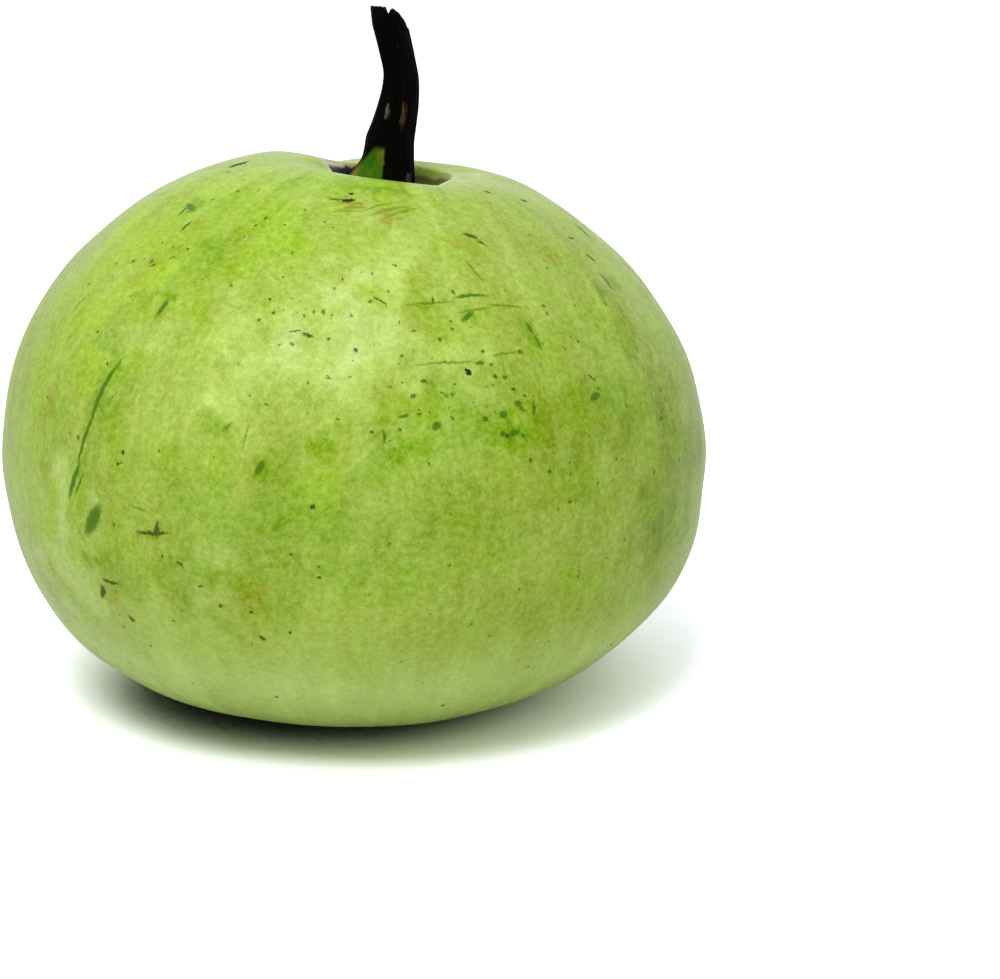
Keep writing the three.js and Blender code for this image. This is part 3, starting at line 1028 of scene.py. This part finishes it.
def broken_end(x, y):
    """Height of the torn end: it slants away, has one notch through it, and stands in fibres."""
    slant = TIP_HEIGHT - TIP_SLANT * np.maximum(0, x - TIP_BREAK_X) ** 2
    fibres = sum(rise * np.sin(by_x * x + by_y * y) for rise, by_x, by_y in TIP_FIBRES)
    return slant - NOTCH_DEPTH * bump(x - NOTCH_X, NOTCH_WIDTH) + (fibres - FIBRE_SINK)


turn = np.arange(STALK_SIDES) * 2 * math.pi / STALK_SIDES


def girth(centre_x, centre_y, radius, share, height, row):
    """One ring of the stalk. Its ridges wander a little on their way up."""
    reach = np.full(STALK_SIDES, float(share))
    for count, depth, toward in BARK_RIDGES:
        wander = RIDGE_WANDER * math.sin(row * RIDGE_PACE * (1 + count % 4) + count)
        reach = reach + share**2 * depth * np.cos(count * turn - math.radians(toward) + wander)
    x, y = centre_x + radius * reach * np.cos(turn), centre_y + radius * reach * np.sin(turn)
    z = height(x, y) if callable(height) else np.full(STALK_SIDES, height)
    return leaned(x, y, z)


def through(values, share):
    """A smooth curve through evenly counted values, share from 0 to 1 along them."""
    at = share * (len(values) - 1)
    before = min(int(at), len(values) - 2)
    t = at - before
    p0, p1, p2, p3 = (values[min(max(before + k, 0), len(values) - 1)] for k in (-1, 0, 1, 2))
    square = 2 * p0 - 5 * p1 + 4 * p2 - p3
    cube = 3 * p1 - p0 - 3 * p2 + p3
    return 0.5 * (2 * p1 + (p2 - p0) * t + square * t**2 + cube * t**3)


def seat(x, y):
    """Height of the stalk's underside, just clear of the fruit."""
    return hollow_floor(x, y) + SEAT_GAP


TIP_SHARES = np.linspace(0.08, 1, 14)
FOOT_SHARES = (1, 0.85, 0.6, 0.3)
stalk_rings = [girth(TIP_X, TIP_Y, TIP_RADIUS, share, broken_end, 0) for share in TIP_SHARES]
for row in range(STALK_ROWS):
    height, centre_x, centre_y, radius = through(STALK_GIRTHS, 1 - row / (STALK_ROWS - 1))
    stalk_rings.append(girth(centre_x, centre_y, radius, 1.0, height, row))
stalk_rings += [girth(FOOT_X, 0.0, FOOT_RADIUS, share, seat, STALK_ROWS) for share in FOOT_SHARES]
stalk_rings = np.array(stalk_rings)
tip_middle = leaned(np.array(TIP_X), np.array(TIP_Y), broken_end(TIP_X, TIP_Y))
foot_middle = leaned(np.array(FOOT_X), np.array(0.0), seat(FOOT_X, 0.0))
stalk = closed_skin("gourd_stalk", placed(tip_middle), placed(stalk_rings), placed(foot_middle))

bark_finish = bpy.data.materials.new("stalk_bark")
bark_finish.use_nodes = True
tree = bark_finish.node_tree
tree.nodes.clear()
place = scaled(tree, add(tree, "ShaderNodeTexCoord").outputs["Object"], 1 / MM)
upright = unleaned(tree, place)

# The bark's grain is drawn out along the stalk, and it frays the edges of the marks the same way.
BARK_DRAWN = (1.0, 1.0, 0.12)
BARK_LOOK = {"Scale": 1.6, "Detail": 4.0, "Roughness": 0.6}
BARK_FRAY = (1.6, 1.6, 6.0)
grain_place = vector(tree, "MULTIPLY", upright, BARK_DRAWN)
grain = add(tree, "ShaderNodeTexNoise", {"Vector": grain_place, **BARK_LOOK})
shift = vector(tree, "SUBTRACT", grain.outputs["Color"], (0.5, 0.5, 0.5))
torn_place = vector(tree, "MULTIPLY_ADD", shift, BARK_FRAY, upright)

BARK_BLACK = colour(4, 3, 3)
BARK_BROWN = colour(30, 22, 14)
FOOT_GREEN = colour(52, 102, 12)
FOOT_YELLOW = colour(112, 120, 28)
FOOT_BROWN = colour(146, 116, 58)
# Pale streaks on the front of the bark: worn rubs, and low on the foot a bluish grey one that is a painted
# highlight.
RUBS_AND_GLINT = [  # x, height, width, length, share, colour
    (-1.4, 87.3, 1.4, 3.8, 0.7, colour(112, 106, 94)),
    (2.9, 87.0, 1.5, 7.4, 0.6, colour(110, 84, 56)),
    (6.2, 70.2, 1.4, 4.0, 0.5, colour(120, 124, 128)),
    (-0.6, 104.6, 0.6, 0.9, 0.4, colour(80, 76, 70)),
]

bark = tinted(tree, times(ramp(tree, grain.outputs[0], 0.56, 0.74), 0.35), BARK_BLACK, BARK_BROWN)
across, deep = add(tree, "ShaderNodeSeparateXYZ", {0: torn_place}).outputs[:2]
front = ramp(tree, deep, 3.0, 1.0)
streaky = times(front, ramp(tree, grain.outputs[0], 0.36, 0.56))
for x, height, width, length, share, rub_and_glint in RUBS_AND_GLINT:
    middle, wide, tall = (x, 0.0, height), (2 / width, 0.0, 0.0), (0.0, 0.0, 2 / length)
    spot = {"Place": torn_place, "Middle": middle, "Along": tall, "Across": wide}
    spread = add(tree, "ShaderNodeGroup", spot, node_tree=mark_group).outputs["Spread"]
    bark = tinted(tree, times(streaky, ramp(tree, spread, 1.6, 0.1), share), bark, rub_and_glint)

# The flared foot is still green in front, left of a sharp edge where the bark stops.
LIVE_TOP = 77.6
LIVE_SLOPE, LIVE_SLOPE_TOP = 1.4, 82.8  # the green runs down to the left
LIVE_RIGHT = (-0.6, -1.3)
own_up = add(tree, "ShaderNodeSeparateXYZ", {0: upright}).outputs[2]
sloping_top = reckon(tree, "MULTIPLY_ADD", across, LIVE_SLOPE, LIVE_SLOPE_TOP)
live_top = reckon(tree, "MINIMUM", LIVE_TOP, sloping_top)
frayed_up = reckon(tree, "MULTIPLY_ADD", grain.outputs[0], 2.0, own_up)
above_live = reckon(tree, "SUBTRACT", frayed_up, live_top)
live = times(front, ramp(tree, across, *LIVE_RIGHT), ramp(tree, above_live, 1.8, 0.0))
green = tinted(tree, times(ramp(tree, grain.outputs[0], 0.46, 0.66), 0.4), FOOT_GREEN, FOOT_YELLOW)
yellowing = times(ramp(tree, across, -4.0, -1.4), ramp(tree, own_up, 71.0, 77.0), 0.8)
green = tinted(tree, yellowing, green, FOOT_YELLOW)
green = tinted(tree, times(ramp(tree, across, -6.4, -8.6), 0.85), green, FOOT_BROWN)
bark = tinted(tree, live, bark, green)

BARK_RELIEF = {"Strength": 0.7, "Distance": 0.5 * MM}
BARK_GLOSS = {"Roughness": 0.6, "Specular IOR Level": 0.02}
bark_bump = add(tree, "ShaderNodeBump", {**BARK_RELIEF, "Height": grain.outputs[0]})
bark_shader = add(
    tree,
    "ShaderNodeBsdfPrincipled",
    {"Base Color": bark, "Normal": bark_bump.outputs[0], **BARK_GLOSS},
)
add(tree, "ShaderNodeOutputMaterial", {"Surface": bark_shader.outputs[0]})
stalk.data.materials.append(bark_finish)
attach(stalk, "root")
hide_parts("stalk")


# ---- Table and light --------------------------------------------------------------------------
# A plain white table top with a painted shadow round the gourd, one large soft lamp above and in
# front of the gourd, and even light from all round.

FLOOR_HALF = 4.0
FLOOR_WHITE = (0.9, 0.9, 0.9, 1.0)
FLOOR_SEEN = (1.9, 1.87, 2.15, 1.0)
FLOOR_MIRRORED = (0.95, 0.95, 0.95, 1.0)
SHADE_REACH = 0.15  # metres
SHADE_FULL = 0.085  # how open the table is to the light where the shade is full, and where it ends
SHADE_NONE = 0.28
SHADE_LEAN = (0.45, 0.0, 0.9)  # the light comes from the right of straight above
SHADE_SAMPLES = 16

floor_mesh = bpy.data.meshes.new("table_top")
floor_ways = ((-1, -1), (1, -1), (1, 1), (-1, 1))
floor_corners = [(x * FLOOR_HALF, y * FLOOR_HALF, 0) for x, y in floor_ways]
floor_mesh.from_pydata(floor_corners, [], [(0, 1, 2, 3)])
table_top = bpy.data.objects.new("table_top", floor_mesh)
bpy.context.scene.collection.objects.link(table_top)
table_finish = bpy.data.materials.new("table_white")
table_finish.use_nodes = True
tree = table_finish.node_tree
tree.nodes.clear()
rays = add(tree, "ShaderNodeLightPath").outputs
reflected = reckon(tree, "MAXIMUM", rays["Is Glossy Ray"], rays["Is Transmission Ray"])
lean = add(tree, "ShaderNodeCombineXYZ", dict(enumerate(SHADE_LEAN))).outputs[0]
openness = {"Distance": SHADE_REACH, "Normal": lean}
open_above = add(tree, "ShaderNodeAmbientOcclusion", openness, samples=SHADE_SAMPLES).outputs["AO"]
# Painted shadow: the white the camera sees on the table is darkened where ambient occlusion finds it closed
# in by the gourd.
shade = ramp(tree, open_above, SHADE_FULL, SHADE_NONE)
table_seen = scaled(tree, FLOOR_SEEN[:3], shade)
seen = add(tree, "ShaderNodeBsdfDiffuse", {"Color": table_seen})
unseen = add(tree, "ShaderNodeBsdfDiffuse", {"Color": tinted(tree, reflected, FLOOR_WHITE, FLOOR_MIRRORED)})
matte = add(tree, "ShaderNodeMixShader", {0: rays["Is Camera Ray"], 1: unseen.outputs[0], 2: seen.outputs[0]})
add(tree, "ShaderNodeOutputMaterial", {"Surface": matte.outputs[0]})
table_top.data.materials.append(table_finish)

LIGHT_ROUND = 0.05
LIGHT_OVERHEAD = 0.85
world = bpy.data.worlds.new("even_light")
bpy.context.scene.world = world
world.use_nodes = True
tree = world.node_tree
tree.nodes.clear()
rays = add(tree, "ShaderNodeLightPath").outputs
reflected = reckon(tree, "MAXIMUM", rays["Is Glossy Ray"], rays["Is Transmission Ray"])
shown = reckon(tree, "MAXIMUM", rays["Is Camera Ray"], reflected)
way_out = add(tree, "ShaderNodeTexCoord").outputs["Generated"]
overhead = add(tree, "ShaderNodeSeparateXYZ", {0: way_out}).outputs[2]
even = reckon(tree, "MULTIPLY_ADD", reckon(tree, "MAXIMUM", overhead, 0.0), LIGHT_OVERHEAD, LIGHT_ROUND)
strength = add(tree, "ShaderNodeMapRange", {"Value": shown, "To Min": even, "To Max": 1.0}).outputs["Result"]
background = add(tree, "ShaderNodeBackground", {"Color": (1.0, 1.0, 1.0, 1.0), "Strength": strength})
add(tree, "ShaderNodeOutputWorld", {"Surface": background.outputs[0]})

LAMP_AZIMUTH = math.radians(256)
LAMP_RISE = math.radians(55)
LAMP_DISTANCE = 1.1
LAMP_SIZE = 0.5
LAMP_POWER = 6.3
lamp_data = bpy.data.lights.new("soft_lamp", "AREA")
lamp_data.shape = "SQUARE"
lamp_data.size = LAMP_SIZE
lamp_data.energy = LAMP_POWER
lamp = bpy.data.objects.new("soft_lamp", lamp_data)
lamp_way = Vector((
    math.cos(LAMP_RISE) * math.cos(LAMP_AZIMUTH),
    math.cos(LAMP_RISE) * math.sin(LAMP_AZIMUTH),
    math.sin(LAMP_RISE),
))
lamp.location = GOURD_MIDDLE + lamp_way * LAMP_DISTANCE
lamp.rotation_euler = lamp_way.to_track_quat("Z", "Y").to_euler()
bpy.context.scene.collection.objects.link(lamp)

bpy.context.scene.view_settings.view_transform = "Standard"
